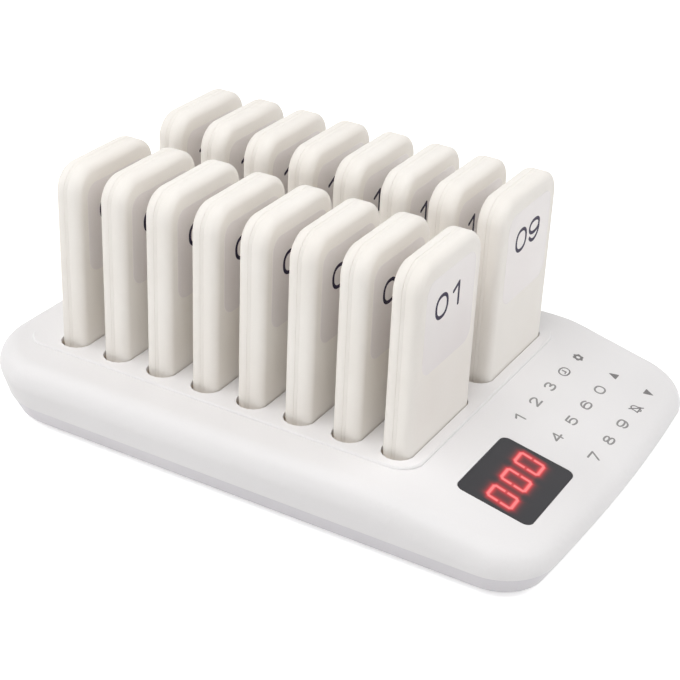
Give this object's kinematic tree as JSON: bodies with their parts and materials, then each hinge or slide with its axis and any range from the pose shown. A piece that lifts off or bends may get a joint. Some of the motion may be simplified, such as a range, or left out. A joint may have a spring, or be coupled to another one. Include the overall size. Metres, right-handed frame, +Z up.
{
  "type": "guest pager system",
  "caption": "Charging base with a sloped front panel, display window and touch keys, holding two rows of upright numbered guest pagers in deep slots.",
  "frame": {"origin": "on the table, under the middle of the base's bounding box", "axes": "+Z up; -Y is the front, where the keypad and display are; +X is right when facing the keypad; the rows of slots run along Y"},
  "size_m": [0.1606, 0.2378, 0.1011],
  "materials": {
    "base_white": "satin",
    "tray_grey": "satin",
    "smoked_window": "glossy",
    "display_black": "semi-gloss",
    "circuit_board": "satin",
    "foam_pad": "matte",
    "contact_metal": "satin",
    "black_plastic": "satin",
    "antenna_sleeve": "matte",
    "foot_rubber": "matte",
    "screw_steel": "plain",
    "pager_cream": "satin",
    "pager_board": "satin"
  },
  "bodies": {
    "base": {"upper_shell": "base_white", "lower_shell": "tray_grey", "display_window": "smoked_window", "display_module": "display_black", "control_board": "circuit_board", "touch_pads": "foam_pad", "charging_board": "circuit_board", "charging_contacts": "contact_metal", "dc_jack": "black_plastic", "antenna": "antenna_sleeve", "rubber_feet": "foot_rubber", "housing_screws": "screw_steel"},
    "pager_01": {"pager_01_front_shell": "pager_cream", "pager_01_back_shell": "pager_cream", "pager_01_electronics": "pager_board"},
    "pager_02": {"pager_02_front_shell": "pager_cream", "pager_02_back_shell": "pager_cream", "pager_02_electronics": "pager_board"},
    "pager_03": {"pager_03_front_shell": "pager_cream", "pager_03_back_shell": "pager_cream", "pager_03_electronics": "pager_board"},
    "pager_04": {"pager_04_front_shell": "pager_cream", "pager_04_back_shell": "pager_cream", "pager_04_electronics": "pager_board"},
    "pager_05": {"pager_05_front_shell": "pager_cream", "pager_05_back_shell": "pager_cream", "pager_05_electronics": "pager_board"},
    "pager_06": {"pager_06_front_shell": "pager_cream", "pager_06_back_shell": "pager_cream", "pager_06_electronics": "pager_board"},
    "pager_07": {"pager_07_front_shell": "pager_cream", "pager_07_back_shell": "pager_cream", "pager_07_electronics": "pager_board"},
    "pager_08": {"pager_08_front_shell": "pager_cream", "pager_08_back_shell": "pager_cream", "pager_08_electronics": "pager_board"},
    "pager_09": {"pager_09_front_shell": "pager_cream", "pager_09_back_shell": "pager_cream", "pager_09_electronics": "pager_board"},
    "pager_10": {"pager_10_front_shell": "pager_cream", "pager_10_back_shell": "pager_cream", "pager_10_electronics": "pager_board"},
    "pager_11": {"pager_11_front_shell": "pager_cream", "pager_11_back_shell": "pager_cream", "pager_11_electronics": "pager_board"},
    "pager_12": {"pager_12_front_shell": "pager_cream", "pager_12_back_shell": "pager_cream", "pager_12_electronics": "pager_board"},
    "pager_13": {"pager_13_front_shell": "pager_cream", "pager_13_back_shell": "pager_cream", "pager_13_electronics": "pager_board"},
    "pager_14": {"pager_14_front_shell": "pager_cream", "pager_14_back_shell": "pager_cream", "pager_14_electronics": "pager_board"},
    "pager_15": {"pager_15_front_shell": "pager_cream", "pager_15_back_shell": "pager_cream", "pager_15_electronics": "pager_board"},
    "pager_16": {"pager_16_front_shell": "pager_cream", "pager_16_back_shell": "pager_cream", "pager_16_electronics": "pager_board"}
  },
  "joints": [
    {"name": "pager_01_lift", "type": "slide", "parent": "base", "child": "pager_01", "axis": [0, 0, 1], "range_m": [0, 0.1]},
    {"name": "pager_02_lift", "type": "slide", "parent": "base", "child": "pager_02", "axis": [0, 0, 1], "range_m": [0, 0.1]},
    {"name": "pager_03_lift", "type": "slide", "parent": "base", "child": "pager_03", "axis": [0, 0, 1], "range_m": [0, 0.1]},
    {"name": "pager_04_lift", "type": "slide", "parent": "base", "child": "pager_04", "axis": [0, 0, 1], "range_m": [0, 0.1]},
    {"name": "pager_05_lift", "type": "slide", "parent": "base", "child": "pager_05", "axis": [0, 0, 1], "range_m": [0, 0.1]},
    {"name": "pager_06_lift", "type": "slide", "parent": "base", "child": "pager_06", "axis": [0, 0, 1], "range_m": [0, 0.1]},
    {"name": "pager_07_lift", "type": "slide", "parent": "base", "child": "pager_07", "axis": [0, 0, 1], "range_m": [0, 0.1]},
    {"name": "pager_08_lift", "type": "slide", "parent": "base", "child": "pager_08", "axis": [0, 0, 1], "range_m": [0, 0.1]},
    {"name": "pager_09_lift", "type": "slide", "parent": "base", "child": "pager_09", "axis": [0, 0, 1], "range_m": [0, 0.1]},
    {"name": "pager_10_lift", "type": "slide", "parent": "base", "child": "pager_10", "axis": [0, 0, 1], "range_m": [0, 0.1]},
    {"name": "pager_11_lift", "type": "slide", "parent": "base", "child": "pager_11", "axis": [0, 0, 1], "range_m": [0, 0.1]},
    {"name": "pager_12_lift", "type": "slide", "parent": "base", "child": "pager_12", "axis": [0, 0, 1], "range_m": [0, 0.1]},
    {"name": "pager_13_lift", "type": "slide", "parent": "base", "child": "pager_13", "axis": [0, 0, 1], "range_m": [0, 0.1]},
    {"name": "pager_14_lift", "type": "slide", "parent": "base", "child": "pager_14", "axis": [0, 0, 1], "range_m": [0, 0.1]},
    {"name": "pager_15_lift", "type": "slide", "parent": "base", "child": "pager_15", "axis": [0, 0, 1], "range_m": [0, 0.1]},
    {"name": "pager_16_lift", "type": "slide", "parent": "base", "child": "pager_16", "axis": [0, 0, 1], "range_m": [0, 0.1]}
  ]
}
